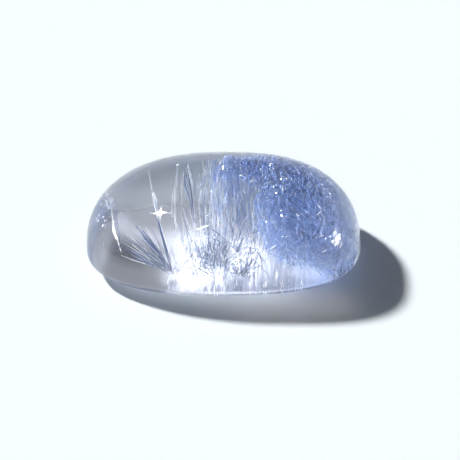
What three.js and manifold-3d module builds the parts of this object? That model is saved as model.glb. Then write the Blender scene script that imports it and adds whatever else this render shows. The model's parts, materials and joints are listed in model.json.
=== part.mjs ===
// Dumortierite in quartz: a clear quartz cabochon, cut oval with a domed top and a flat polished
// back, that holds blue dumortierite crystals. A spray of needles fans out at the left, a few
// upright needles and a pale sheaf stand in the middle, and the right half is dense blue fibre.
// Millimetres, +Z up. X runs along the stone, -Y is the side that faces the viewer, and the
// origin lies on the flat back, midway between the stone's two ends.
import * as THREE from "three";
import { ConvexGeometry } from "three/addons/geometries/ConvexGeometry.js";
import { mergeVertices } from "three/addons/utils/BufferGeometryUtils.js";
import Module from "manifold-3d";

const wasm = await Module();
wasm.setup();

// The stone's driving sizes.
const LENGTH = 15;
const REAR_HALF_WIDTH = 5.07;
const FRONT_HALF_WIDTH = 4.56; // the long side at -Y is cut closer and flatter
const HEIGHT = 5.27;
const GIRDLE_Z = 0.9; // height of the widest line
const BACK_SHARE = 0.78; // the flat back's size as a share of the girdle's
const CROWN_SHIFT = 0.3; // how far the top of the dome sits towards +X

// Powers of the superellipses: 2 is a plain ellipse, and more is fuller in the shoulders.
const REAR_PLAN_POWER = 2.5;
const FRONT_PLAN_POWER = 2.8;
const DOME_HEIGHT_POWER = 1.9;
const DOME_SPREAD_POWER = 2.9;
const EDGE_POWER = 1.6;

const ROUND_STEPS = 60;
const EDGE_STEPS = 4;
const DOME_STEPS = 13;

// The crystals stay this far under the polished surface, in a pocket this much wider.
const COVER = 0.55;
const CLEARANCE = 0.35;
// The clear stone is parted level at this height, so that the sealed pockets open.
const PARTING_Z = 1.9;

const GOLDEN_ANGLE = Math.PI * (3 - Math.sqrt(5));

const at = (x, y, z) => new THREE.Vector3(x, y, z);

// The share of full size that the oval plan has at a height, for the polished surface or for
// the like shape that lies a depth inside it.
function planShare(z, depth = 0) {
  if (z > GIRDLE_Z) {
    const rise = Math.min(1, (z - GIRDLE_Z) / (HEIGHT - depth - GIRDLE_Z));
    return (1 - rise ** DOME_HEIGHT_POWER) ** (1 / DOME_SPREAD_POWER);
  }
  const fall = (GIRDLE_Z - z) / (GIRDLE_Z - depth);
  if (fall > 1) return 0;
  const curl = (1 - fall ** EDGE_POWER) ** (1 / EDGE_POWER);
  return BACK_SHARE + (1 - BACK_SHARE) * curl;
}

// How far the middle of the plan has moved towards +X at a height.
function crownShift(z) {
  return CROWN_SHIFT * Math.max(0, (z - GIRDLE_Z) / (HEIGHT - GIRDLE_Z)) ** 2;
}

// The plan's half width and its power on the rear side or the front side of the long axis.
function planSide(y) {
  if (y < 0) return { halfWidth: FRONT_HALF_WIDTH, power: FRONT_PLAN_POWER };
  return { halfWidth: REAR_HALF_WIDTH, power: REAR_PLAN_POWER };
}

// True if a point lies at least a depth inside the polished surface.
function isUnderSurface(point, depth) {
  const { halfWidth, power } = planSide(point.y);
  const along = Math.abs(point.x - crownShift(point.z)) / (LENGTH / 2 - depth);
  const across = Math.abs(point.y) / (halfWidth - depth);
  const share = (along ** power + across ** power) ** (1 / power);
  return share < planShare(point.z, depth);
}

// The outline from the middle of the back, round the girdle and up to the crown, as pairs of
// plan share and height.
function stoneProfile() {
  const profile = [new THREE.Vector2(0, 0)];
  for (let i = 0; i <= EDGE_STEPS; i++) {
    const turn = ((i / EDGE_STEPS) * Math.PI) / 2;
    const z = GIRDLE_Z * (1 - Math.cos(turn) ** (2 / EDGE_POWER));
    profile.push(new THREE.Vector2(planShare(z), z));
  }
  for (let i = 1; i < DOME_STEPS; i++) {
    const turn = ((i / DOME_STEPS) * Math.PI) / 2;
    const rise = Math.sin(turn) ** (2 / DOME_HEIGHT_POWER);
    const z = GIRDLE_Z + (HEIGHT - GIRDLE_Z) * rise;
    profile.push(new THREE.Vector2(planShare(z), z));
  }
  profile.push(new THREE.Vector2(0, HEIGHT));
  return profile;
}

// The whole polished stone: the profile turned about Z and drawn out to the oval plan.
function stoneGeometry() {
  const geometry = new THREE.LatheGeometry(stoneProfile(), ROUND_STEPS);
  const place = geometry.getAttribute("position");
  for (let i = 0; i < place.count; i++) {
    const share = Math.hypot(place.getX(i), place.getZ(i));
    const angle = Math.atan2(-place.getZ(i), place.getX(i));
    const z = place.getY(i);
    const { halfWidth, power } = planSide(angle);
    const bend = (value) => Math.sign(value) * Math.abs(value) ** (2 / power);
    const x = (LENGTH / 2) * share * bend(Math.cos(angle)) + crownShift(z);
    const y = halfWidth * share * bend(Math.sin(angle));
    place.setXYZ(i, x, y, z);
  }
  return geometry;
}

// The same random numbers on every run.
function makeRandom(seed) {
  let state = seed;
  return (low = 0, high = 1) => {
    state = (state * 1664525 + 1013904223) % 4294967296;
    return low + ((high - low) * state) / 4294967296;
  };
}

// The points of a geometry, each kept once, with the triangles between them.
function mergedPoints(geometry) {
  const bare = geometry.clone();
  bare.deleteAttribute("normal");
  bare.deleteAttribute("uv");
  return mergeVertices(bare, 1e-5);
}

// A closed geometry as a solid for joining and cutting. Triangles that a lathe's axis has
// closed to a line are left out.
function toSolid(geometry) {
  const merged = mergedPoints(geometry);
  const corners = merged.index.array;
  const kept = [];
  for (let i = 0; i < corners.length; i += 3) {
    const [a, b, c] = [corners[i], corners[i + 1], corners[i + 2]];
    if (a !== b && b !== c && c !== a) kept.push(a, b, c);
  }
  return new wasm.Manifold(
    new wasm.Mesh({
      numProp: 3,
      vertProperties: merged.getAttribute("position").array,
      triVerts: new Uint32Array(kept),
    }),
  );
}

function join(solids) {
  return solids.reduce((whole, solid) => whole.add(solid));
}

function toMesh(name, solid, material) {
  const made = solid.getMesh();
  const positions = new Float32Array(made.numVert * 3);
  for (let i = 0; i < made.numVert; i++) {
    for (let k = 0; k < 3; k++) {
      positions[i * 3 + k] = made.vertProperties[i * made.numProp + k];
    }
  }
  const geometry = new THREE.BufferGeometry()
    .setAttribute("position", new THREE.BufferAttribute(positions, 3))
    .setIndex(new THREE.BufferAttribute(made.triVerts, 1));
  geometry.computeVertexNormals();
  const mesh = new THREE.Mesh(geometry, material);
  mesh.name = name;
  return mesh;
}

// Moves a needle's tip back towards its root until the stone covers it.
function coveredTip(root, tip) {
  const placed = tip.clone();
  for (let step = 0; step < 60 && !isUnderSurface(placed, COVER); step++) {
    placed.lerp(root, 0.05);
  }
  return placed;
}

// One crystal: a slim prism whose widths follow each other evenly from its start to its end.
// Flatness under 1 makes a lath.
function needle(start, end, widths, { sides = 4, flatness = 1 } = {}) {
  const along = end.clone().sub(start);
  const length = along.length();
  const outline = widths.map(
    (width, i) =>
      new THREE.Vector2(width / 2, (length * i) / (widths.length - 1)),
  );
  const profile = [
    new THREE.Vector2(0, 0),
    ...outline,
    new THREE.Vector2(0, length),
  ];
  const turn = new THREE.Quaternion().setFromUnitVectors(
    new THREE.Vector3(0, 1, 0),
    along.normalize(),
  );
  const geometry = new THREE.LatheGeometry(profile, sides);
  geometry.scale(1, 1, flatness).applyQuaternion(turn);
  return toSolid(geometry.translate(start.x, start.y, start.z));
}

// A spray's needle, which is thick where it grows from the root.
function sprayNeedle(root, tip, width, flatness = 1) {
  return needle(root, tip, [width, width / 3], { flatness });
}

// A crystal that narrows to both ends, as a needle that grew alone does.
function loneNeedle(start, end, width, flatness = 1) {
  const widths = [width / 3, width, width / 3];
  return needle(start, end, widths, { sides: 6, flatness });
}

// The small lump where the needles of a spray grow together.
function knot(centre, radius) {
  const lump = new THREE.IcosahedronGeometry(radius, 0);
  return toSolid(lump.translate(centre.x, centre.y, centre.z));
}

// The spray at the left: slim needles that fan out low to the left, with three broad laths and
// one long needle standing up in it, and a few short needles to the right.
const LEFT_FAN = {
  root: at(-2.6, -1.2, 0.8),
  knot: 0.24,
  slim: 20,
  slimWidth: 0.13,
  reach: [2.2, 3.3],
  swing: [100, 178], // degrees from +X, towards +Z
  squat: 0.75, // height of the fan as a share of a round one's
  laths: [at(-4.25, -1.0, 2.55), at(-3.55, -1.05, 2.6), at(-4.75, -0.7, 2.0)],
  lathWidth: 0.28,
  long: at(-3.85, 1.7, 3.95),
  right: [at(-1.75, -1.5, 1.6), at(-1.85, -0.9, 1.15), at(-1.95, -1.2, 1.95)],
};

function leftFan() {
  const { root } = LEFT_FAN;
  const random = makeRandom(11);
  const solids = [knot(root, LEFT_FAN.knot)];
  const points = [root];
  const grow = (tip, width, flatness = 1) => {
    const placed = coveredTip(root, tip);
    solids.push(sprayNeedle(root, placed, width, flatness));
    points.push(placed);
  };
  for (let i = 0; i < LEFT_FAN.slim; i++) {
    const [first, last] = LEFT_FAN.swing;
    const turn = first + ((last - first) * (i + random(-0.3, 0.3))) / LEFT_FAN.slim;
    const swing = THREE.MathUtils.degToRad(turn);
    // The needles that lie towards the left end are the longest.
    const reach = random(...LEFT_FAN.reach) * (0.72 - 0.28 * Math.cos(swing));
    grow(
      at(
        root.x + reach * Math.cos(swing),
        root.y + random(-0.75, 0.75),
        root.z + reach * Math.sin(swing) * LEFT_FAN.squat,
      ),
      LEFT_FAN.slimWidth,
    );
  }
  LEFT_FAN.laths.forEach((tip) => grow(tip, LEFT_FAN.lathWidth, 0.4));
  LEFT_FAN.right.forEach((tip) => grow(tip, LEFT_FAN.slimWidth));
  grow(LEFT_FAN.long, LEFT_FAN.lathWidth * 0.7, 0.6);
  return { solid: join(solids), points };
}

// The pale sheaf in the middle: needles from one low root that spread as they rise.
const SHEAF = {
  root: at(-0.35, -1.25, 0.75),
  knot: 0.26,
  needles: 26,
  width: 0.15,
  rise: [1.3, 2.9],
  spread: { x: 1.25, y: 0.95 },
  lean: 0.45, // how far the tips' middle lies behind the root
};

function centreSheaf() {
  const random = makeRandom(23);
  const { root } = SHEAF;
  const solids = [knot(root, SHEAF.knot)];
  const points = [root];
  for (let i = 0; i < SHEAF.needles; i++) {
    // The golden angle spreads the tips evenly over a disc.
    const turn = i * GOLDEN_ANGLE;
    const far = Math.sqrt((i + 0.5) / SHEAF.needles);
    const tip = coveredTip(
      root,
      at(
        root.x + SHEAF.spread.x * far * Math.cos(turn),
        root.y + SHEAF.lean + SHEAF.spread.y * far * Math.sin(turn),
        root.z + random(...SHEAF.rise),
      ),
    );
    solids.push(sprayNeedle(root, tip, SHEAF.width));
    points.push(tip);
  }
  return { solid: join(solids), points };
}

// The blue curtain behind and right of the sheaf: upright fibres grown side by side in two rows.
const CURTAIN = {
  left: 0.25,
  right: 2.3,
  rows: [0.85, 1.12],
  fibres: 9,
  foot: 0.75,
  top: 4.6,
  lean: 0.75,
  width: 0.38,
};

function blueCurtain() {
  const random = makeRandom(31);
  const solids = [];
  const points = [];
  CURTAIN.rows.forEach((y, row) => {
    for (let i = 0; i < CURTAIN.fibres; i++) {
      const share = (i + row / 2) / (CURTAIN.fibres - 0.5);
      const x = THREE.MathUtils.lerp(CURTAIN.left, CURTAIN.right, share);
      const root = at(x, y, CURTAIN.foot + random(0, 0.15));
      const tip = coveredTip(
        root,
        at(
          x + random(-0.12, 0.12),
          y + CURTAIN.lean + random(-0.2, 0.1),
          CURTAIN.top - random(0, 0.7),
        ),
      );
      solids.push(sprayNeedle(root, tip, CURTAIN.width));
      points.push(root, tip);
    }
  });
  return { solid: join(solids), points };
}

// The dense blue fibre of the right half: bursts of needles that point every way and have grown
// into each other, with two long needles across them.
const FELT = {
  needles: 24,
  width: 0.2,
  knot: 0.4,
  bursts: [
    { centre: at(4.1, 0.85, 2.85), reach: [1.0, 1.6] },
    { centre: at(5.0, -0.25, 1.9), reach: [0.9, 1.5] },
    { centre: at(3.7, -1.45, 1.9), reach: [0.8, 1.25] },
  ],
  across: [
    [at(3.4, -1.7, 1.75), at(5.05, -0.2, 2.2)],
    [at(3.95, 1.05, 3.0), at(5.1, -0.4, 1.8)],
  ],
};

function blueFelt() {
  const random = makeRandom(41);
  const solids = FELT.across.map((ends) => loneNeedle(...ends, FELT.width));
  const points = FELT.across.flat();
  FELT.bursts.forEach(({ centre, reach }, burst) => {
    solids.push(knot(centre, FELT.knot));
    for (let i = 0; i < FELT.needles; i++) {
      // Even steps in height and the golden angle spread the needles over the whole ball.
      const height = 1 - (2 * (i + 0.5)) / FELT.needles;
      const turn = i * GOLDEN_ANGLE + burst;
      const direction = at(Math.cos(turn), Math.sin(turn), 0)
        .multiplyScalar(Math.sqrt(1 - height * height))
        .setZ(height);
      const far = centre.clone().addScaledVector(direction, random(...reach));
      const tip = coveredTip(centre, far);
      solids.push(sprayNeedle(centre, tip, FELT.width));
      points.push(tip);
    }
  });
  return { solid: join(solids), points };
}

// The low spray right of the middle, whose dark needles cross near the back of the stone.
const LOW_SPRAY = {
  root: at(1.05, -2.15, 0.75),
  knot: 0.2,
  width: 0.14,
  tips: [
    at(2.05, -2.1, 1.75),
    at(1.95, -1.6, 1.35),
    at(1.75, -2.5, 1.95),
    at(1.35, -1.7, 2.1),
    at(0.9, -2.2, 2.15),
    at(0.55, -2.6, 1.7),
    at(0.4, -1.9, 1.5),
    at(0.25, -2.4, 1.1),
    at(1.9, -2.9, 1.3),
    at(1.2, -2.95, 1.75),
  ],
};

function lowSpray() {
  const { root } = LOW_SPRAY;
  const tips = LOW_SPRAY.tips.map((tip) => coveredTip(root, tip));
  const solids = tips.map((tip) => sprayNeedle(root, tip, LOW_SPRAY.width));
  return {
    solid: join([knot(root, LOW_SPRAY.knot), ...solids]),
    points: [root, ...tips],
  };
}

// Crystals that stand or lie alone, each by its two ends, its width and its flatness.
const LONE_NEEDLES = {
  outer_needle: [at(-4.95, -0.9, 1.3), at(-5.4, 0.85, 2.7), 0.16, 1],
  upright_needle_left: [at(-2.35, 0.75, 0.8), at(-2.45, 1.7, 4.1), 0.2, 1],
  upright_needle_middle: [at(-1.4, 0.6, 1.2), at(-1.95, 1.9, 4.1), 0.3, 0.4],
  upright_needle_right: [at(-1.25, 1.15, 1.1), at(-0.85, 1.2, 4.3), 0.2, 1],
  front_needle: [at(-1.8, -1.9, 2.3), at(-1.1, -2.2, 2.8), 0.16, 1],
};

// The hull of a spray's points with room around each, reaching the level where the stone parts.
function pocket(points) {
  const around = mergedPoints(new THREE.IcosahedronGeometry(CLEARANCE, 0));
  const offsets = around.getAttribute("position");
  const middle = points[0].clone().lerp(points[points.length - 1], 0.5);
  const throat = at(middle.x, middle.y, PARTING_Z);
  const corners = [];
  [...points, throat].forEach((point) => {
    for (let i = 0; i < offsets.count; i++) {
      corners.push(new THREE.Vector3().fromBufferAttribute(offsets, i).add(point));
    }
  });
  return toSolid(new ConvexGeometry(corners));
}

// A box over all the stone on one side of the parting level.
function halfSpace(side) {
  const size = 2 * LENGTH;
  return toSolid(
    new THREE.BoxGeometry(size, size, size).translate(
      0,
      0,
      PARTING_Z + (side * size) / 2,
    ),
  );
}

const clearQuartz = new THREE.MeshStandardMaterial({
  color: 0xdfe6f0,
  roughness: 0.05,
  metalness: 0,
  transparent: true,
  opacity: 0.35,
});
const paleNeedle = new THREE.MeshStandardMaterial({
  color: 0xb4c2dc,
  roughness: 0.35,
  metalness: 0,
});
const blueFibre = new THREE.MeshStandardMaterial({
  color: 0x5f7cb8,
  roughness: 0.4,
  metalness: 0,
});

const crystals = {
  left_fan: { ...leftFan(), material: paleNeedle },
  centre_sheaf: { ...centreSheaf(), material: paleNeedle },
  blue_curtain: { ...blueCurtain(), material: blueFibre },
  blue_felt: { ...blueFelt(), material: blueFibre },
  low_spray: { ...lowSpray(), material: paleNeedle },
};
Object.entries(LONE_NEEDLES).forEach(([name, [start, end, width, flatness]]) => {
  crystals[name] = {
    solid: loneNeedle(start, end, width, flatness),
    points: [start, end],
    material: paleNeedle,
  };
});

const stone = toSolid(stoneGeometry());
const pockets = join(Object.values(crystals).map(({ points }) => pocket(points)));

const cabochon = new THREE.Group();
cabochon.add(
  toMesh("quartz_dome", stone.subtract(halfSpace(-1)).subtract(pockets), clearQuartz),
  toMesh("quartz_back", stone.subtract(halfSpace(1)).subtract(pockets), clearQuartz),
);
Object.entries(crystals).forEach(([name, { solid, material }]) => {
  cabochon.add(toMesh(name, solid, material));
});

export default cabochon;
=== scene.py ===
import json
import math
import random

import bpy
import numpy as np
from mathutils import Matrix, Vector

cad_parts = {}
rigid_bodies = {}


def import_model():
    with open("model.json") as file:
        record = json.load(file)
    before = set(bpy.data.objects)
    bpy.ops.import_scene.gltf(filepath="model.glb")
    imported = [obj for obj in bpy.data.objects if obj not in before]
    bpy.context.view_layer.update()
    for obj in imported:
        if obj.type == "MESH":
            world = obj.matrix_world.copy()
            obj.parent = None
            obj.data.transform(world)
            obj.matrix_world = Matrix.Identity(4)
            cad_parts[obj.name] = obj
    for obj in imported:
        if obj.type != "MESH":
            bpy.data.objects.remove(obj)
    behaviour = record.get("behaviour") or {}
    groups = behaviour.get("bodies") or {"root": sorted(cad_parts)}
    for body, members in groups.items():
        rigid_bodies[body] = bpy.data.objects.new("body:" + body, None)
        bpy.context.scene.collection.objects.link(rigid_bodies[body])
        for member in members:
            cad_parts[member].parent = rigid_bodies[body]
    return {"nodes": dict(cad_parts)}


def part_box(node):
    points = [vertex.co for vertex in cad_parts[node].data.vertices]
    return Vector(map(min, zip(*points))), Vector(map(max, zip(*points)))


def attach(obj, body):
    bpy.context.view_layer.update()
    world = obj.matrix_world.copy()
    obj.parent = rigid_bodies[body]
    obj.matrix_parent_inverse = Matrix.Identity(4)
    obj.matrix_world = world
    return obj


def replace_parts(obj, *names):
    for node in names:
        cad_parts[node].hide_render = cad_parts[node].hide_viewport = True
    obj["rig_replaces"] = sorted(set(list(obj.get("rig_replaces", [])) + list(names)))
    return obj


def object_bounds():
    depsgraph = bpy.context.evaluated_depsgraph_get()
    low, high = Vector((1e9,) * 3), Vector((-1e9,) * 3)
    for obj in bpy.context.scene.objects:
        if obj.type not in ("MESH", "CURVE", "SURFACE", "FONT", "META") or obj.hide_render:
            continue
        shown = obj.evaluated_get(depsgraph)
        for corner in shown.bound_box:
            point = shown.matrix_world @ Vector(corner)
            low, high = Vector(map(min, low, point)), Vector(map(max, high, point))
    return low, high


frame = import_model()
cad_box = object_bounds()

# The clear quartz. It is rock crystal, ground to an oval dome over a flat back and polished all
# over. The blue crystals grew in it, so it is one unbroken body, and it takes the place of both
# halves of the frame's stone.
MM = 0.001
HALF_LENGTH = cad_box[1].x
REAR_HALF_WIDTH = cad_box[1].y
FRONT_HALF_WIDTH = -cad_box[0].y  # this long side is cut closer and flatter
HEIGHT = cad_box[1].z
GIRDLE_Z = 0.9 * MM  # height of the widest line
BACK_SHARE = 0.78  # the flat back's size as a share of the girdle's
CROWN_SHIFT = 0.3 * MM  # how far the top of the dome sits towards the blue end
REAR_PLAN_POWER = 2.5
FRONT_PLAN_POWER = 2.8
DOME_HEIGHT_POWER = 1.9
DOME_SPREAD_POWER = 2.9
EDGE_POWER = 1.6
ROUND_POINTS = 240
EDGE_ROWS = 14
DOME_ROWS = 64
QUARTZ_IOR = 1.544
QUARTZ_TINT = "#c3cfe4"
QUARTZ_TINT_DENSITY = 22.0  # per metre, so a centimetre of stone takes off about a tenth


def linear(colour):
    """An sRGB hex colour as linear red, green, blue and alpha."""
    channels = [int(colour[i : i + 2], 16) / 255 for i in (1, 3, 5)]
    return tuple(
        c / 12.92 if c <= 0.04045 else ((c + 0.055) / 1.055) ** 2.4 for c in channels
    ) + (1.0,)


def add_node(tree, kind, sockets=(), **settings):
    """Adds one node to a tree, with its settings, and with its sockets as values or links."""
    made = tree.nodes.new(kind)
    for name, value in settings.items():
        setattr(made, name, value)
    for name, value in dict(sockets).items():
        if isinstance(value, bpy.types.NodeSocket):
            tree.links.new(value, made.inputs[name])
        else:
            made.inputs[name].default_value = value
    return made


def new_material(name):
    """An empty material, its node tree, and its output node."""
    material = bpy.data.materials.new(name)
    material.use_nodes = True
    tree = material.node_tree
    tree.nodes.clear()
    return material, tree, add_node(tree, "ShaderNodeOutputMaterial")


def plan_share(z, depth=0.0):
    """The share of full size that the plan has at a height, a depth inside the polish."""
    if z > GIRDLE_Z:
        rise = min(1.0, (z - GIRDLE_Z) / (HEIGHT - depth - GIRDLE_Z))
        return (1 - rise**DOME_HEIGHT_POWER) ** (1 / DOME_SPREAD_POWER)
    fall = (GIRDLE_Z - z) / (GIRDLE_Z - depth)
    if fall > 1:
        return 0.0
    return BACK_SHARE + (1 - BACK_SHARE) * (1 - fall**EDGE_POWER) ** (1 / EDGE_POWER)


def crown_shift(z):
    """How far the middle of the plan has moved towards the blue end at a height."""
    return CROWN_SHIFT * max(0.0, (z - GIRDLE_Z) / (HEIGHT - GIRDLE_Z)) ** 2


def plan_side(y):
    """The plan's half width and its power on the front or the rear side of the long axis."""
    if y < 0:
        return FRONT_HALF_WIDTH, FRONT_PLAN_POWER
    return REAR_HALF_WIDTH, REAR_PLAN_POWER


def is_covered(point, depth):
    """True if a point lies at least a depth inside the polished surface."""
    half_width, power = plan_side(point.y)
    along = abs(point.x - crown_shift(point.z)) / (HALF_LENGTH - depth)
    across = abs(point.y) / (half_width - depth)
    share = (along**power + across**power) ** (1 / power)
    return share < plan_share(point.z, depth)


def oval(angle):
    """The plan's outline at full size, as x and y."""
    along, across = math.cos(angle), math.sin(angle)
    half_width, power = plan_side(across)
    x = HALF_LENGTH * math.copysign(abs(along) ** (2 / power), along)
    y = half_width * math.copysign(abs(across) ** (2 / power), across)
    return x, y


heights = []
for row in range(1, EDGE_ROWS + 1):
    turn = math.pi / 2 * row / EDGE_ROWS
    heights.append(GIRDLE_Z * (1 - max(0.0, math.cos(turn)) ** (2 / EDGE_POWER)))
for row in range(1, DOME_ROWS):
    rise = math.sin(math.pi / 2 * row / DOME_ROWS) ** (2 / DOME_HEIGHT_POWER)
    heights.append(GIRDLE_Z + (HEIGHT - GIRDLE_Z) * rise)

bpy.ops.object.select_all(action="DESELECT")
bpy.ops.mesh.primitive_circle_add(vertices=ROUND_POINTS, radius=1, fill_type="NGON")
polished_quartz = bpy.context.object
polished_quartz.name = "polished_quartz"
for corner in polished_quartz.data.vertices:
    x, y = oval(math.atan2(corner.co.y, corner.co.x))
    corner.co = (x * BACK_SHARE, y * BACK_SHARE, 0)
bpy.ops.object.mode_set(mode="EDIT")
bpy.ops.mesh.select_all(action="SELECT")
share, z, shift = BACK_SHARE, 0.0, 0.0
for next_z in heights:
    next_share, next_shift = plan_share(next_z), crown_shift(next_z)
    bpy.ops.mesh.extrude_region_move(
        TRANSFORM_OT_translate={"value": (next_shift - shift, 0, next_z - z)}
    )
    growth = next_share / share
    bpy.ops.transform.resize(
        value=(growth, growth, 1), center_override=(next_shift, 0, next_z)
    )
    share, z, shift = next_share, next_z, next_shift
bpy.ops.mesh.poke()
bpy.ops.mesh.select_all(action="DESELECT")
bpy.ops.object.mode_set(mode="OBJECT")
crown_point = polished_quartz.data.vertices[-1]
crown_point.co.z = HEIGHT
bpy.ops.object.mode_set(mode="EDIT")
bpy.ops.mesh.select_all(action="SELECT")
bpy.ops.mesh.normals_make_consistent(inside=False)
bpy.ops.object.mode_set(mode="OBJECT")
bpy.ops.object.shade_smooth()

# Polished rock crystal: a sharp gloss, no grain, and a faint grey-blue in the thick of it. The
# flat back was only ground smooth, so what mirrors in it from inside is blurred.
BACK_ROUGHNESS = 0.18
BACK_POLISH_EDGE = 0.02 * MM  # how far above the back the full polish starts
clear_quartz, tree, output = new_material("clear_polished_rock_crystal")
place = add_node(tree, "ShaderNodeTexCoord")
parts = add_node(tree, "ShaderNodeSeparateXYZ", {0: place.outputs["Object"]})
polish = add_node(
    tree,
    "ShaderNodeMapRange",
    {
        "Value": parts.outputs["Z"],
        "From Min": 0.0,
        "From Max": BACK_POLISH_EDGE,
        "To Min": BACK_ROUGHNESS,
        "To Max": 0.0,
    },
)
surface = add_node(
    tree,
    "ShaderNodeBsdfPrincipled",
    {
        "Base Color": (1, 1, 1, 1),
        "Roughness": polish.outputs["Result"],
        "IOR": QUARTZ_IOR,
        "Transmission Weight": 1.0,
    },
)
inside = add_node(
    tree,
    "ShaderNodeVolumeAbsorption",
    {"Color": linear(QUARTZ_TINT), "Density": QUARTZ_TINT_DENSITY},
)
tree.links.new(surface.outputs["BSDF"], output.inputs["Surface"])
tree.links.new(inside.outputs["Volume"], output.inputs["Volume"])
polished_quartz.data.materials.clear()
polished_quartz.data.materials.append(clear_quartz)
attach(polished_quartz, "root")
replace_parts(polished_quartz, "quartz_dome", "quartz_back")

# The fan at the clear end. It is a spray of dumortierite: slim needles, pale, clear and dark,
# that grew low to the left from one knot, with three broad laths, a smaller one and one long
# needle that stand up in it. The quartz closed round it and holds it as it grew.
FAN_ROOT = Vector((-2.6, -1.0, 0.2)) * MM
FAN_TIP = Vector((-4.85, -1.35, 1.5)) * MM
FAN_TIP_SPREAD = (0.3, 0.4, 0.24)  # millimetres
FAN_LIFT = Vector((0.5, 0.1, 0.5)) * MM  # the typical rise of a tip over the lowest ones
FAN_NEEDLES = 120
FAN_SHORT_NEEDLES = 60
SHORT_NEEDLE_REACH = ((-0.7, -0.6, 0), (1.3, 0.6, 1.3))  # millimetres from the root
KNOT_SPREAD = (0.12, 0.12, 0.03)  # millimetres
SLIM_WIDTH = (0.012 * MM, 0.038 * MM)
LONG_NEEDLE_WIDTH = 0.06 * MM
LONG_NEEDLE_BOW = Vector((-0.12, 0, 0)) * MM
LONG_NEEDLE_FILMS = 5
LATH_WIDTH = 0.14 * MM
LATH_FLATNESS = 0.3
LATH_FACING = (0.2, -0.6, 0.5)
LATH_EDGE = Vector((0.09, -0.04, 0.02)) * MM  # from a lath's middle to its bright edge
COVER = 0.3 * MM  # least stone over a crystal
LOW_COVER = 0.15 * MM  # the same near the stone's back
COVER_STEP = 0.06  # how far a tip is drawn back at a time, as a share of its way to the root
COVER_STEPS = 40
TONE_PATCH = 0.8 * MM  # the size of a patch of crystals of one tone
OWN_TONE = 0.3  # how much of a crystal's tone is its own,
TUFT_TONE = 0.25  # how much is its tuft's,
TABLE_LIGHT_TONE = 0.6  # and how much paler, as painted table light, at the back than the crown
GRAIN = 0.25 * MM  # the length of the fine mottling on a crystal's face
MOTTLING = 0.6  # how far the mottling moves the tone, from darkest to palest
boxes = {name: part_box(name) for name in frame["nodes"]}
draw = random.Random(11)


def millimetres(*point):
    return Vector(point) * MM


def spread(size):
    """A small random offset, the same all ways or by axis, from a size in millimetres."""
    sizes = size if isinstance(size, tuple) else (size,) * 3
    return Vector([draw.gauss(0, part) for part in sizes]) * MM


def any_place(low, high):
    """A random place between two corners in millimetres."""
    return millimetres(*[draw.uniform(*ends) for ends in zip(low, high)])


def within(node, x, y, z):
    """The point at these shares of a node's box."""
    low, high = boxes[node]
    return Vector([low[i] + (high[i] - low[i]) * share for i, share in enumerate((x, y, z))])


def covered(root, tip, depth=COVER):
    """The tip, drawn back towards its root until the stone covers it."""
    placed = Vector(tip)
    for _ in range(COVER_STEPS):
        if is_covered(placed, depth):
            break
        placed = placed.lerp(root, COVER_STEP)
    return placed


def cut_prism(sides, tip_share, root_share=1.0):
    """One crystal, a prism of unit length and width that narrows to its ends, as corners and
    faces. A ring at its middle lets the copies bow."""
    bpy.ops.object.select_all(action="DESELECT")
    bpy.ops.mesh.primitive_cylinder_add(vertices=sides, radius=0.5, depth=1, location=(0, 0, 0.5))
    prism = bpy.context.object
    bpy.ops.object.transform_apply(location=True)
    bpy.ops.object.mode_set(mode="EDIT")
    bpy.ops.mesh.select_all(action="SELECT")
    bpy.ops.mesh.bisect(plane_co=(0, 0, 0.5), plane_no=(0, 0, 1))
    for end, share in ((0, root_share), (1, tip_share)):
        bpy.ops.mesh.select_all(action="DESELECT")
        bpy.ops.object.mode_set(mode="OBJECT")
        for corner in prism.data.vertices:
            corner.select = abs(corner.co.z - end) < 0.1
        bpy.ops.object.mode_set(mode="EDIT")
        bpy.ops.transform.resize(value=(share, share, 1), center_override=(0, 0, end))
    bpy.ops.mesh.select_all(action="SELECT")
    bpy.ops.mesh.normals_make_consistent(inside=False)
    bpy.ops.object.mode_set(mode="OBJECT")
    corners = np.array([corner.co[:] for corner in prism.data.vertices])
    faces = [tuple(face.vertices) for face in prism.data.polygons]
    bpy.data.objects.remove(prism)
    return corners, faces


def crystal(root, tip, width, flatness=1.0, bow=(0, 0, 0), facing=None):
    """One needle's place: its two ends, its width, its thickness as a share of that, how far its
    middle stands off the straight line, and the way its broad side faces."""
    return root, tip, width, flatness, bow, facing or spread(1)


def bent(root, middle, tip, width, flatness=0.5, facing=None):
    """A needle's place by its two ends and the point that its middle passes, in millimetres."""
    root, middle, tip = millimetres(*root), millimetres(*middle), millimetres(*tip)
    return crystal(root, tip, width * MM, flatness, middle - root.lerp(tip, 0.5), facing)


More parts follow.
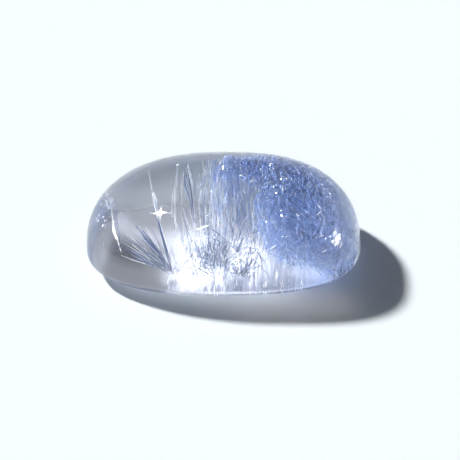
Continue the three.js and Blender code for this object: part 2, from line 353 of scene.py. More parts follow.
def grow(name, prism, crystals, material, nodes, seed):
    """Copies the prism to every place, each copy with its own mesh, and joins the copies. Each
    copy keeps a tone of its own for the material to read: part its own, part its tuft's, and
    paler towards the stone's back, which is painted light from the white table under it."""
    corners, faces = prism
    count, size = len(crystals), len(corners)
    root, tip, width, flatness, bow, facing = (np.array(part, float) for part in zip(*crystals))
    along = tip - root
    side = np.cross(along, facing)
    side /= np.linalg.norm(side, axis=1)[:, None]
    across = np.cross(along, side)
    across /= np.linalg.norm(across, axis=1)[:, None]
    x, y, z = (corners[None, :, i, None] for i in range(3))
    places = (
        root[:, None]
        + along[:, None] * z
        + side[:, None] * x * width[:, None, None]
        + across[:, None] * y * (width * flatness)[:, None, None]
        + bow[:, None] * 4 * z * (1 - z)
    ).reshape(-1, 3)
    mesh = bpy.data.meshes.new(name)
    all_faces = [tuple(i + size * k for i in face) for k in range(count) for face in faces]
    mesh.from_pydata(places.tolist(), [], all_faces)
    x, y, z = (root / TONE_PATCH).T
    own_tone = np.random.default_rng(seed).random(count)
    tuft_tone = 0.5 + 0.25 * (np.sin(2.1 * x + 1.3 * z) + np.sin(2.6 * z - 1.7 * y + 1))
    # painted table light: crystals lower in the stone are painted paler, for the light the white
    # table throws up
    painted_table_light = 1 - root[:, 2] / HEIGHT
    tone = mesh.attributes.new("tone", "FLOAT", "POINT")
    tones = OWN_TONE * own_tone + TUFT_TONE * tuft_tone + TABLE_LIGHT_TONE * painted_table_light
    tone.data.foreach_set("value", np.repeat(tones, size))
    mesh.materials.append(material)
    made = bpy.data.objects.new(name, mesh)
    bpy.context.scene.collection.objects.link(made)
    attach(made, "root")
    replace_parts(made, *nodes)


def grow_group(prefix, slot, nodes, *pieces):
    """Grows the pieces of one spray. Each is given by its own name, its prism, its crystals, its
    finish and the seed of its tones."""
    for name, prism, crystals, finish, seed in pieces:
        grow(prefix + name, prism, crystals, finish, nodes, seed)


def crystal_finish(name, dark, light, roughness, clearness, ior, metallic=0.0):
    """A mineral's finish: crystals between two tones, each a little mottled along its faces, that
    let the given part of the light through."""
    material, tree, output = new_material(name)
    place = add_node(tree, "ShaderNodeTexCoord")
    mottling = add_node(
        tree,
        "ShaderNodeTexNoise",
        {"Vector": place.outputs["Object"], "Scale": 1 / GRAIN, "Detail": 2.0},
    )
    tone = add_node(tree, "ShaderNodeAttribute", attribute_name="tone")
    mottled_tone = add_node(
        tree,
        "ShaderNodeMath",
        {0: mottling.outputs["Fac"], 1: MOTTLING, 2: tone.outputs["Fac"]},
        operation="MULTIPLY_ADD",
    )
    centred_tone = add_node(
        tree,
        "ShaderNodeMath",
        {0: mottled_tone.outputs[0], 1: MOTTLING / 2},
        operation="SUBTRACT",
    )
    colour = add_node(
        tree,
        "ShaderNodeMix",
        {0: centred_tone.outputs[0], 6: linear(dark), 7: linear(light)},
        data_type="RGBA",
    )
    surface = add_node(
        tree,
        "ShaderNodeBsdfPrincipled",
        {
            "Base Color": colour.outputs[2],
            "Roughness": roughness,
            "IOR": ior,
            "Transmission Weight": clearness,
            "Metallic": metallic,
        },
    )
    tree.links.new(surface.outputs["BSDF"], output.inputs["Surface"])
    return material


# Slim dumortierite as grown, in silky bundles: almost white with a breath of blue. Each IOR
# starts from the mineral's 1.69 over the 1.54 of the quartz round it, which is 1.1, so the faces
# gleam only a little. It is raised where the real faces gleam more.
pale_dumortierite = crystal_finish(
    "silky_pale_dumortierite", "#d2dae8", "#ffffff", roughness=0.3, clearness=0.3, ior=1.15
)
# Broad dumortierite laths with glassy cleaved faces: grey-blue in the thick of them.
deep_dumortierite = crystal_finish(
    "glassy_deep_blue_dumortierite", "#29324b", "#7685a6", roughness=0.15, clearness=0.3, ior=1.3
)
# Single needles thin enough to see through: their edges show, light on dark and dark on light.
clear_dumortierite = crystal_finish(
    "glass_clear_dumortierite", "#aebde6", "#f4f8ff", roughness=0.03, clearness=1.0, ior=1.12
)
# A film of air where a crystal has parted from the quartz. Light turns back from it as from a
# mirror, which gives the white glints.
air_film = crystal_finish(
    "mirror_bright_air_film",
    "#dfeaff",
    "#ffffff",
    roughness=0.08,
    clearness=0.0,
    ior=1.5,
    metallic=1.0,
)
needle_prism = cut_prism(4, tip_share=0.35)
lath_prism = cut_prism(4, tip_share=0.3, root_share=0.35)
fibre_prism = cut_prism(3, tip_share=0.5)

fan, clear_fan, slim_laths_and_shaded_side, films = [], [], [], []
for number in range(FAN_NEEDLES):
    tip = FAN_TIP + spread(FAN_TIP_SPREAD)
    tip += FAN_LIFT * max(0.0, draw.gauss(0, 1))
    tip = covered(FAN_ROOT, tip)
    start = FAN_ROOT.lerp(tip, draw.uniform(0, 0.6)) + spread(0.05)
    stop = FAN_ROOT.lerp(tip, draw.uniform(0.6, 1.0))
    group = draw.choice((fan, clear_fan, clear_fan, slim_laths_and_shaded_side, slim_laths_and_shaded_side, slim_laths_and_shaded_side, films))
    group.append(crystal(start, stop, draw.uniform(*SLIM_WIDTH), 0.7, spread(0.02)))
long_tip = within("left_fan", 0.41, 0.98, 0.99)
fan.append(crystal(FAN_ROOT, long_tip, LONG_NEEDLE_WIDTH, 0.5, LONG_NEEDLE_BOW))
# painted shade: a dark copy of the long needle, just beside it, stands for its shaded side
shaded_root = FAN_ROOT - millimetres(0.05, 0, 0)
slim_laths_and_shaded_side.append(crystal(shaded_root, long_tip, LONG_NEEDLE_WIDTH, 0.5, LONG_NEEDLE_BOW))
for number in range(LONG_NEEDLE_FILMS):
    start, stop = sorted((draw.uniform(0.1, 1), draw.uniform(0.1, 1)))
    foot = FAN_ROOT.lerp(long_tip, start) + spread(0.04)
    top = FAN_ROOT.lerp(long_tip, stop) + spread(0.04)
    films.append(crystal(foot, top, 0.035 * MM, 0.6, LONG_NEEDLE_BOW * (stop - start)))
for number in range(FAN_SHORT_NEEDLES):
    tip = FAN_ROOT + any_place(*SHORT_NEEDLE_REACH)
    tip = covered(FAN_ROOT, tip, LOW_COVER)
    group = draw.choice((fan, fan, clear_fan, films))
    root = FAN_ROOT + spread(KNOT_SPREAD)
    group.append(crystal(root, tip, draw.uniform(*SLIM_WIDTH), 0.8))

blades = []
for tip, middle, width in (  # the tip and the middle in millimetres, the width as a share
    ((-4.45, -1.2, 2.55), (-3.6, -1.25, 1.5), 1.0),
    ((-4.1, -1.2, 2.3), (-3.35, -1.25, 1.4), 0.9),
    ((-3.36, -0.8, 2.58), (-2.95, -1.1, 1.4), 1.0),
    ((-3.75, -1.2, 1.9), (-3.2, -1.2, 1.1), 0.6),
):
    tip, middle = millimetres(*tip), millimetres(*middle)
    bow = (middle - FAN_ROOT.lerp(tip, 0.5)) * 0.6
    blades.append(crystal(FAN_ROOT, tip, LATH_WIDTH * width, LATH_FLATNESS, bow, LATH_FACING))
    edge_foot = FAN_ROOT.lerp(tip, 0.3) + LATH_EDGE + bow * 0.8
    films.append(crystal(edge_foot, tip + LATH_EDGE, LATH_WIDTH / 4, 0.5))
grow_group(
    "left_fan_",
    "pale_needles",
    ["left_fan"],
    ("needles", needle_prism, fan, pale_dumortierite, 12),
    ("clear_needles", needle_prism, clear_fan, clear_dumortierite, 15),
    ("slim_laths_and_shaded_side", needle_prism, slim_laths_and_shaded_side, deep_dumortierite, 13),
    ("laths", lath_prism, blades, deep_dumortierite, 16),
    ("films", needle_prism, films, air_film, 14),
)

# The needles that stand alone: one at the fan's tips, three between the fan and the sheaf with
# hair-thin ones beside them, and a short one that lies across the front. Each is a separate
# crystal that the quartz closed round.
HAIR_WIDTH = (0.012 * MM, 0.035 * MM)
STRAY_HAIRS = 90
STRAY_HAIR_ROOM = ((-2.3, 0.0, 0.5), (0.5, 2.0, 3.2))  # where they grow, in millimetres
LONE_NEEDLES = {  # the width in millimetres, and how many hairs grow beside it
    "outer_needle": (0.04, 1),
    "upright_needle_left": (0.06, 5),
    "upright_needle_middle": (0.1, 5),
    "upright_needle_right": (0.06, 6),
}
LONE_SHIFT = Vector((0.06, 0, 0)) * MM  # from a lone needle to its film of air and its painted shade
LONE_FLATNESS = 0.4
HAIR_SPREAD = (0.13, 0.12, 0)  # millimetres
HAIR_LEAN = 1.6  # how much further off than its foot a hair's top is
NEAR_HAIR_GROWTH = 1.6  # how much wider the hairs beside a lone needle are,
STRAY_HAIR_GROWTH = 1.3  # and the stray ones
LOWEST_HAIR = 0.2 * MM


def node_ends(node):
    """The lower and the upper end of a lone needle's node, from the sixth of its corners that
    lie nearest to each."""
    corners = sorted((v.co for v in frame["nodes"][node].data.vertices), key=lambda co: co.z)
    few = max(3, len(corners) // 6)
    return [sum(part, Vector()) / len(part) for part in (corners[:few], corners[-few:])]


lone, lone_clear, lone_laths_and_shaded_sides, lone_films = [], [], [], []
for node, (width, hairs) in LONE_NEEDLES.items():
    foot, top = node_ends(node)
    shaded_foot, shaded_top = foot - LONE_SHIFT, top - LONE_SHIFT
    (lone if hairs > 1 else lone_clear).append(crystal(foot, top, width * MM, LONE_FLATNESS))
    # painted shade: a dark copy beside each lone needle stands for its shaded side
    lone_laths_and_shaded_sides.append(crystal(shaded_foot, shaded_top, width * 0.8 * MM, LONE_FLATNESS))
    if hairs > 1:
        bright_foot, bright_top = foot.lerp(top, 0.35) + LONE_SHIFT, top + LONE_SHIFT
        lone_films.append(crystal(bright_foot, bright_top, 0.03 * MM, 0.6))
    for number in range(hairs):
        offset = spread(HAIR_SPREAD)
        start = foot.lerp(top, draw.uniform(-0.3, 0.6)) + offset
        start.z = max(start.z, LOWEST_HAIR)
        stop = covered(start, start.lerp(top + offset * HAIR_LEAN, draw.uniform(0.3, 1.0)))
        width = draw.uniform(*HAIR_WIDTH) * NEAR_HAIR_GROWTH
        place = crystal(start, stop, width, 0.8, spread((0.03, 0.03, 0)))
        draw.choice((lone, lone_clear, lone_films, lone_laths_and_shaded_sides)).append(place)
for number in range(STRAY_HAIRS):
    foot = any_place(*STRAY_HAIR_ROOM)
    top = foot + spread((0.14, 0.2, 0)) + any_place((0, 0.25, 0.4), (0, 0.25, 2.0))
    width = draw.uniform(*HAIR_WIDTH) * STRAY_HAIR_GROWTH
    place = crystal(foot, covered(foot, top), width, 0.8, spread(0.03))
    draw.choice((lone_clear, lone_clear, lone_clear, lone, lone_films, lone_laths_and_shaded_sides)).append(place)
lone_films += [
    bent((-1.30, -0.3, 2.12), (-1.17, 0.6, 3.1), (-0.99, 1.5, 4.07), 0.05),
    bent((-2.62, 0.15, 3.1), (-2.62, 0.2, 3.2), (-2.62, 0.25, 3.3), 0.09),
    bent((-0.95, 1.3, 4.55), (-0.9, 1.4, 4.6), (-0.8, 1.5, 4.62), 0.12),
    bent((-0.9, 1.0, 4.5), (-0.85, 1.0, 4.52), (-0.75, 1.0, 4.5), 0.09),
    bent((-2.5, 1.6, 4.35), (-2.45, 1.7, 4.4), (-2.4, 1.75, 4.45), 0.08),
]
lone_laths_and_shaded_sides += [
    bent((-1.59, 0.2, 1.99), (-1.95, 0.8, 2.75), (-2.14, 1.7, 4.3), 0.1),
    bent((-1.15, -0.3, 2.1), (-1.05, 0.6, 3.1), (-0.9, 1.5, 4.1), 0.05),
]
lone_clear += [
    bent((-2.3, 1.9, 4.3), (-2.1, 2.1, 4.35), (-1.9, 2.3, 4.3), 0.05),
    bent((-3.55, 1.95, 3.65), (-3.3, 2.15, 3.75), (-3.05, 2.35, 3.75), 0.04),
]
grow_group(
    "lone_",
    "pale_needles",
    list(LONE_NEEDLES),
    ("needles", needle_prism, lone, pale_dumortierite, 18),
    ("clear_needles", needle_prism, lone_clear, clear_dumortierite, 21),
    ("laths", needle_prism, lone_laths_and_shaded_sides, deep_dumortierite, 19),
    ("films", needle_prism, lone_films, air_film, 20),
)
front_foot, front_top = node_ends("front_needle")
front = [crystal(front_foot, front_top, 0.08 * MM, 0.5)]
front.append(bent((-1.42, -1.9, 2.93), (-1.1, -1.9, 3.08), (-0.77, -1.9, 3.2), 0.09))
grow_group(
    "front_needle_",
    "pale_needles",
    ["front_needle"],
    ("crystal", needle_prism, front, pale_dumortierite, 35),
)

# A veil of specks near the clear end's tip: short stray crystals of the same mineral, which the
# quartz caught as it grew, and one broad pale one in front of them.
VEIL_SPECKS = 90
VEIL_MIDDLE = millimetres(-5.85, 0.5, 2.2)
VEIL_SPREAD = (0.25, 0.9, 0.4)  # millimetres
SPECK_REACH = (0.06, 0.14, 0.14)  # millimetres
SPECK_WIDTH = (0.02 * MM, 0.08 * MM)
veil, veil_pale, veil_films = [], [], []
for number in range(VEIL_SPECKS):
    foot = VEIL_MIDDLE + spread(VEIL_SPREAD)
    if not is_covered(foot, COVER):
        continue
    top = foot + spread(SPECK_REACH)
    group = draw.choice((veil, veil, veil, veil, veil_pale, veil_pale, veil_pale, veil_films))
    group.append(crystal(foot, covered(foot, top), draw.uniform(*SPECK_WIDTH), 0.4))
veil_pale.append(bent((-5.45, -1.65, 2.15), (-5.6, -1.3, 2.35), (-5.6, -0.9, 2.6), 0.12, 0.3))
grow_group(
    "end_veil_",
    "pale_needles",
    ["outer_needle"],
    ("specks", needle_prism, veil, clear_dumortierite, 22),
    ("pale_specks", needle_prism, veil_pale, pale_dumortierite, 24),
    ("films", needle_prism, veil_films, air_film, 23),
)

# The pale sheaf in the middle: hundreds of whitish dumortierite fibres that grew from one low
# knot and spread as they rise, as in a sheaf of corn, with dark and bright needles that cross
# in front of it. The quartz closed round them all.
SHEAF_FIBRES = 620
SHEAF_CROSSERS = 70
SHEAF_FRONT_LATHS = 90
SHEAF_LOW_LATHS = 80
SHEAF_ROOT = millimetres(-0.4, -0.9, 0.3)
SHEAF_KNOT_SPREAD = (0.65, 0.4, 0.05)  # millimetres, as are the rooms below
FRONT_LATH_ROOM = ((-1.7, -2.2, 0.7), (1.9, -1.2, 2.3))
LOW_LATH_ROOM = ((-2.1, -3.0, 0.6), (1.2, -1.8, 1.7))
CROSSER_ROOM = ((-0.3, -0.9, 0), (1.9, 0.3, 2.4))  # from the root
FOOT_COVER = 0.12 * MM
SHEAF_LATH_WIDTH = (0.02 * MM, 0.045 * MM)
LOW_LATH_WIDTH = (0.015 * MM, 0.035 * MM)


def group_for(kind, *steps, rest):
    """The group that a number falls in. Each step is the number that it ends at and its group,
    and what lies past the last step falls in the rest."""
    for end, group in steps:
        if kind < end:
            return group
    return rest


sheaf, sheaf_clear, sheaf_dark, sheaf_films = [], [], [], []
for number in range(SHEAF_FIBRES):
    foot = SHEAF_ROOT + spread(SHEAF_KNOT_SPREAD) + any_place((0, 0, 0), (0, 0, 0.9))
    lean = (foot.x - SHEAF_ROOT.x) * 0.45 + draw.gauss(0, 0.22) * MM
    rise = draw.choice((draw.uniform(0.3, 1.1), draw.uniform(0.3, 1.1), draw.uniform(0.3, 2.3)))
    top = foot + Vector((lean, draw.gauss(0.25, 0.35) * MM, rise * MM))
    foot = covered(SHEAF_ROOT, foot, FOOT_COVER)
    place = crystal(foot, covered(foot, top), draw.uniform(*HAIR_WIDTH), 0.8, spread(0.05))
    steps = ((0.25, sheaf_films), (0.33, sheaf_dark), (0.6, sheaf))
    group_for(draw.random(), *steps, rest=sheaf_clear).append(place)
for number in range(SHEAF_FRONT_LATHS):
    foot = any_place(*FRONT_LATH_ROOM)
    way = Vector((draw.gauss(0.15, 0.3), draw.gauss(0, 0.1), -draw.uniform(0.3, 0.9))) * MM
    top = covered(foot, foot + way)
    sheaf_dark.append(crystal(foot, top, draw.uniform(*SHEAF_LATH_WIDTH), 0.7))
for number in range(SHEAF_LOW_LATHS):
    foot = any_place(*LOW_LATH_ROOM)
    top = covered(foot, foot + spread((0.3, 0.1, 0.3)))
    sheaf_dark.append(crystal(foot, top, draw.uniform(*LOW_LATH_WIDTH), 0.7))
for number in range(SHEAF_CROSSERS):
    foot = SHEAF_ROOT + any_place(*CROSSER_ROOM)
    way = any_place((0.2, -0.2, -0.3), (0.6, 0.2, 0.5))
    way.x *= draw.choice((-1, 1))
    place = crystal(foot, covered(foot, foot + way), draw.uniform(*SHEAF_LATH_WIDTH), 0.7)
    draw.choice((sheaf_films, sheaf_clear, sheaf_dark)).append(place)
sheaf_dark += [
    bent((-0.61, -1.7, 2.84), (-0.1, -1.85, 2.55), (0.30, -1.9, 2.15), 0.07),
    bent((0.14, -1.1, 2.93), (0.5, -1.6, 2.65), (0.83, -1.95, 2.3), 0.05),
    bent((0.41, -1.25, 2.86), (0.5, -1.7, 2.6), (0.67, -2.0, 2.24), 0.05),
]
grow_group(
    "centre_sheaf_",
    "pale_needles",
    ["centre_sheaf"],
    ("fibres", fibre_prism, sheaf, pale_dumortierite, 24),
    ("clear_needles", needle_prism, sheaf_clear, clear_dumortierite, 29),
    ("laths", needle_prism, sheaf_dark, deep_dumortierite, 25),
    ("films", needle_prism, sheaf_films, air_film, 26),
)

# A low fringe along the front, of the same mineral: short pale fibres that stand on the stone's
# back where they grew, a few of them bright with air, and four broader ones.
FRINGE = 60
FRINGE_ROOM = ((-3.0, -3.2, 0.2), (4.4, -2.4, 0.5))  # millimetres
BROAD_FRINGE = ((1.4, -3.1, 0.4), (2.25, -3.05, 0.45), (3.4, -2.75, 0.9), (-0.5, -3.2, 0.3))
BROAD_FRINGE_REACH = millimetres(0.02, 0, 0.35)
BROAD_FRINGE_WIDTH = 0.07 * MM
fringe, fringe_films = [], []
for number in range(FRINGE):
    foot = any_place(*FRINGE_ROOM)
    if not is_covered(foot, LOW_COVER):
        continue
    top = foot + spread((0.05, 0.1, 0)) + any_place((0, 0, 0.12), (0, 0, 0.4))
    group = group_for(draw.random(), (0.25, fringe_films), rest=fringe)
    group.append(crystal(foot, covered(foot, top), draw.uniform(*SLIM_WIDTH), 0.8))
for foot in BROAD_FRINGE:
    foot = millimetres(*foot)
    fringe.append(crystal(foot, foot + BROAD_FRINGE_REACH, BROAD_FRINGE_WIDTH, 0.5))
grow_group(
    "fringe_",
    "pale_needles",
    ["centre_sheaf"],
    ("fibres", fibre_prism, fringe, pale_dumortierite, 27),
    ("films", fibre_prism, fringe_films, air_film, 28),
)

# The low spray right of the sheaf: slim dumortierite needles from one knot near the stone's
# back, and two thicker ones that cross there. Their dark is painted shade: the deep finish stands
# for needles that lie across the light. The quartz closed round them as they grew.
LOW_NEEDLES = 50
low_root = within("low_spray", 0.45, 0.57, 0.1)
low, low_films = [], []
for number in range(LOW_NEEDLES):
    reach = Vector((draw.gauss(0.15, 0.55), draw.gauss(0, 0.45), draw.uniform(-0.2, 1.2))) * MM
    tip = covered(low_root, low_root + reach, LOW_COVER)
    place = crystal(low_root + spread(0.1), tip, draw.uniform(*SLIM_WIDTH), 0.8)
    group_for(draw.random(), (0.3, low_films), rest=low).append(place)
low += [
    bent((0.45, -2.0, 0.63), (1.2, -1.85, 1.1), (1.99, -1.6, 1.40), 0.06),
    bent((0.9, -2.1, 0.7), (1.5, -1.9, 1.0), (2.1, -1.7, 1.35), 0.05),
]
grow_group(
    "low_spray_",
    "pale_needles",
    ["low_spray"],
    ("needles", needle_prism, low, deep_dumortierite, 30),
    ("films", needle_prism, low_films, air_film, 31),
)

# The blue curtain behind the sheaf: fibres of blue dumortierite that grew side by side, lit
# through, with white streaks where the light meets single ones: films of air that mirror it, and
# pale fibres whose white is painted light. Looser short ones lie over them, under the crown. The
# quartz grew between and over them.
CURTAIN_FIBRES = 4200
CURTAIN_FLATNESS = 0.7
CURTAIN_WIDTH = (0.012 * MM, 0.05 * MM)
CURTAIN_SWAY = 0.12 * MM  # how far the fibres lean in turn to the left and to the right
CURTAIN_COVER = 0.2 * MM
CURTAIN_TOP_FIBRES = 1500
CURTAIN_TOP_ROOM = ((0.0, 0.3, 3.8), (3.0, 2.6, 4.75))  # millimetres
CURTAIN_TOP_REACH = (0.08, 0.2, 0.25)  # millimetres
CURTAIN_TOP_WIDTH = (0.02 * MM, 0.06 * MM)
CURTAIN_TOP_COVER = 0.45 * MM
# Fibrous dumortierite seen from the side: mid blue that silvers where the fibres catch light.
blue_dumortierite = crystal_finish(
    "silky_blue_dumortierite", "#4674c4", "#e2ecfc", roughness=0.35, clearness=0.35, ior=1.12
)
# The same mineral in dense felt, whose rough face scatters the light: an even, soft mid blue.
felted_dumortierite = crystal_finish(
    "felted_blue_dumortierite", "#456bb2", "#c6d8f8", roughness=0.8, clearness=0.25, ior=1.1
)
curtain, curtain_top, curtain_pale, curtain_films = [], [], [], []
for number in range(CURTAIN_FIBRES):
    lowest = 0.15 if draw.random() < 0.5 else -0.1
    height = draw.uniform(lowest, 1)
    across = draw.uniform(-0.2, 1.5) + draw.gauss(0, 0.12)
    back = draw.uniform(-0.6, 0.9) + height * 0.35
    foot = within("blue_curtain", across, back, height * 0.85)
    rise = draw.uniform(0.25, 1.1) * MM
    sway = math.sin(across * 9 + height * 3) * CURTAIN_SWAY
    top = foot + Vector((sway + draw.gauss(0, 0.05) * MM, draw.gauss(0.1, 0.12) * MM, rise))
    if not is_covered(foot, CURTAIN_COVER):
        continue
    width = draw.uniform(*CURTAIN_WIDTH)
    place = crystal(foot, covered(foot, top), width, CURTAIN_FLATNESS, spread(0.04))
    kind = draw.random() + 0.25 * height  # fewer pale ones and films higher up
    # painted light: some fibres get the pale finish for the white streaks where light meets
    # single ones
    group_for(kind, (0.13, curtain_films), (0.38, curtain_pale), rest=curtain).append(place)
for number in range(CURTAIN_TOP_FIBRES):
    foot = any_place(*CURTAIN_TOP_ROOM)
    if is_covered(foot, CURTAIN_TOP_COVER):
        top = covered(foot, foot + spread(CURTAIN_TOP_REACH))
        width = draw.uniform(*CURTAIN_TOP_WIDTH)
        place = crystal(foot, top, width, CURTAIN_FLATNESS, spread(0.03))
        draw.choice((curtain_films, curtain, curtain_top, curtain_top, curtain_top)).append(place)
curtain_films += [
    bent((1.86, -0.2, 2.52), (2.1, 0.2, 2.85), (2.34, 0.6, 3.07), 0.05),
    bent((1.0, 0.6, 3.95), (1.05, 0.75, 4.05), (1.1, 0.9, 4.1), 0.1),
]
grow_group(
    "blue_curtain_",
    "blue_fibres",
    ["blue_curtain"],
    ("fibres", fibre_prism, curtain, blue_dumortierite, 32),
    ("top", fibre_prism, curtain_top, felted_dumortierite, 36),
    ("pale_fibres", fibre_prism, curtain_pale, pale_dumortierite, 34),
    ("films", fibre_prism, curtain_films, air_film, 33),
)

# The blue felt of the right half: short fibres in silky tufts that have grown into each other,
# thick enough to hide the table behind them, with bright flakes of air among them. The stone
# under it is clear.
FELT_FIBRES = 15000
FELT_WIDTH = (0.018 * MM, 0.06 * MM)
FELT_FLATNESS = 0.7
FELT_HALF_LENGTH = (0.06 * MM, 0.24 * MM)
FELT_TANGLE = 0.35  # how far a fibre strays from the way of its tuft
FELT_ROOM = ((-0.3, 1.2), (-0.2, 1.25), (0, 1.2))  # shares of the node's box, along each axis
FELT_EDGE = 1.7  # millimetres right of the stone's middle, at the height below
FELT_EDGE_HEIGHT = 4.2  # millimetres
FELT_EDGE_SLANT = 0.3  # how much further right the edge is for each millimetre lower
FELT_EDGE_FRAY = 0.9  # millimetres
FELT_FLOOR = 1.3  # millimetres above the stone's back
FELT_FLOOR_FRAY = 0.18  # millimetres
FELT_COVER = 0.3 * MM
FIBRE_END_COVER = 0.2 * MM
FELT_FLAKES = 700
FLAKE_COVER = 0.35 * MM
SWARM_COVER = 0.42 * MM
FLAKE_WIDTH = (0.014 * MM, 0.045 * MM)
FLAKE_FLATNESS = 0.12
FLAKE_LOOSENESS = 0.4  # how far a flake's face strays from the flash,
SWARM_LOOSENESS = 0.2  # the same in a swarm,
BRIGHT_LOOSENESS = 0.05  # and for the single bright ones
FLASH = Vector((-0.3, -0.14, 0.95))  # the way a flake faces to flash towards the eye, and how
FLASH_TURN = (39.0, 56.0)  # much that turns for each metre along x and along y
TUFT = 1.5 * MM  # the distance over which neighbouring fibres keep one direction
felt, felt_pale, felt_films, flakes = [], [], [], []


def felt_grain(point):
    """The way the fibres lie at a point. It turns slowly, so that they lie together in tufts."""
    x, y, z = (part / TUFT for part in point)
    return Vector(
        (
            math.sin(1.9 * y + 2.3 * z + 1.0) + 0.6 * math.sin(3.1 * x + z),
            math.sin(2.2 * z + 1.7 * x + 2.0),
            2.4 + math.sin(2.1 * x + 1.3 * y) + 0.5 * math.sin(3.3 * y - z),
        )
    )


def felt_place(depth):
    """A random place in the felt, at least a depth inside the stone."""
    while True:
        place = within("blue_felt", *[draw.uniform(*ends) for ends in FELT_ROOM])
        x, y, z = place / MM
        edge = FELT_EDGE + FELT_EDGE_SLANT * (FELT_EDGE_HEIGHT - z)
        edge += 0.35 * math.sin(1.7 * z) + 0.3 * math.sin(1.3 * y)
        floor = FELT_FLOOR + 0.15 * math.sin(x * 2.3) - abs(draw.gauss(0, FELT_FLOOR_FRAY))
        floor += 0.45 * max(0, y - 0.7) + 0.5 * max(0, -2 - y) - 0.8 * min(1, max(0, x - 4.6))
        edge += abs(draw.gauss(0, FELT_EDGE_FRAY))
        if x > edge and z > floor and is_covered(place, depth):
            return place


def flake(middle, width, looseness):
    """A flake of air that faces the flash, more or less loosely."""
    turned = Vector((FLASH_TURN[0] * middle.x, FLASH_TURN[1] * middle.y, 0))
    facing = (FLASH + turned + spread(1) / MM * looseness).normalized()
    half = facing.cross(spread(1)).normalized() * width * draw.uniform(0.5, 0.9)
    return crystal(middle - half, middle + half, width, FLAKE_FLATNESS, (0, 0, 0), facing)


for number in range(FELT_FIBRES):
    middle = felt_place(FELT_COVER)
    way = (felt_grain(middle).normalized() + spread(1) / MM * FELT_TANGLE).normalized()
    reach = way * draw.uniform(*FELT_HALF_LENGTH)
    foot = covered(middle, middle - reach, FIBRE_END_COVER)
    top = covered(middle, middle + reach, FIBRE_END_COVER)
    place = crystal(foot, top, draw.uniform(*FELT_WIDTH), FELT_FLATNESS, spread(0.03))
    group_for(draw.random(), (0.015, felt_films), (0.06, felt_pale), rest=felt).append(place)
for number in range(FELT_FLAKES):
    flakes.append(flake(felt_place(FLAKE_COVER), draw.uniform(*FLAKE_WIDTH), FLAKE_LOOSENESS))
for middle, reach, count in (  # swarms of flakes: the middle and its spread in millimetres
    ((3.3, 0.7, 4.4), 0.8, 560),
    ((5.6, 0.6, 3.5), 0.4, 260),
    ((2.7, -2.2, 3.3), 0.5, 70),
):
    for number in range(count):
        place = millimetres(*middle) + spread(reach)
        if is_covered(place, SWARM_COVER):
            flakes.append(flake(place, draw.uniform(*FLAKE_WIDTH), SWARM_LOOSENESS))
for middle, width in (  # single bright flakes, in millimetres
    ((3.11, -2.1, 4.0), 0.07),
    ((3.53, 0.5, 4.3), 0.06),
    ((2.68, 0.7, 4.45), 0.05),
    ((3.48, -0.1, 4.35), 0.06),
    ((5.5, 0.85, 3.6), 0.06),
    ((5.6, 0.35, 3.5), 0.06),
    ((4.7, -2.4, 2.85), 0.06),
    ((4.65, -2.6, 2.65), 0.07),
    ((5.2, -2.3, 2.9), 0.05),
):
    flakes.append(flake(millimetres(*middle), width * MM, BRIGHT_LOOSENESS))
felt_films += [
    bent((3.07, -1.7, 2.35), (3.6, -1.7, 2.85), (4.15, -1.7, 3.3), 0.06),
    bent((3.16, -2.3, 1.17), (3.26, -2.2, 1.75), (3.47, -1.9, 2.3), 0.1),
]
felt_pale += [
    bent((3.36, -1.05, 4.1), (3.35, -1.4, 4.05), (3.46, -1.8, 3.95), 0.035),
    bent((3.94, 0.0, 4.15), (4.2, -0.8, 4.1), (4.15, -1.7, 3.85), 0.03),
]
grow_group(
    "blue_felt_",
    "blue_fibres",
    ["blue_felt"],
    ("fibres", fibre_prism, felt, felted_dumortierite, 42),
    ("pale_fibres", fibre_prism, felt_pale, pale_dumortierite, 45),
    ("films", fibre_prism, felt_films, air_film, 43),
    ("flakes", needle_prism, flakes, air_film, 44),
)

# The table: a sheet of white card that the stone lies loose on. It is a hair under the stone's
# back, because two faces never touch all over.
TABLE_RADIUS = 0.45
TABLE_GAP = 0.02 * MM
bpy.ops.object.select_all(action="DESELECT")
bpy.ops.mesh.primitive_circle_add(
    vertices=96, radius=TABLE_RADIUS, fill_type="NGON", location=(0, 0, -TABLE_GAP)
)
table = bpy.context.object
table.name = "white_table"
bpy.ops.object.transform_apply(location=True)
# Matt white card: a cool white that takes soft shadows, with hardly a sheen.
white, tree, output = new_material("matt_white_card")
surface = add_node(
    tree,
    "ShaderNodeBsdfPrincipled",
    {"Base Color": linear("#ebf2f4"), "Roughness": 0.9, "Specular IOR Level": 0.1},
)
tree.links.new(surface.outputs["BSDF"], output.inputs["Surface"])
table.data.materials.append(white)

# The light: one lamp from behind on the left, as in the photograph. Two stand in for it here.
# One lights the table, and one with a smaller face shows only through the stone.
LAMP_WAY = Vector((-1.02, 0.72, 1.0)).normalized()
LAMP_SPREAD = math.radians(5.5)
LAMP_STRENGTH = 5.05
GLINT_SPREAD = math.radians(3)
GLINT_STRENGTH = 2.5


def add_lamp(name, way, spread_angle, strength, **seen_by):
    """A far lamp, and the kinds of ray that see it."""
    lamp = bpy.data.objects.new(name, bpy.data.lights.new(name, "SUN"))
    lamp.data.energy = strength
    lamp.data.angle = spread_angle
    lamp.rotation_euler = way.to_track_quat("Z", "Y").to_euler()
    for ray, seen in seen_by.items():
        setattr(lamp, "visible_" + ray, seen)
    bpy.context.scene.collection.objects.link(lamp)


add_lamp("table_lamp", LAMP_WAY, LAMP_SPREAD, LAMP_STRENGTH, glossy=False, transmission=False)
add_lamp("glint_lamp", LAMP_WAY, GLINT_SPREAD, GLINT_STRENGTH, diffuse=False, glossy=False)

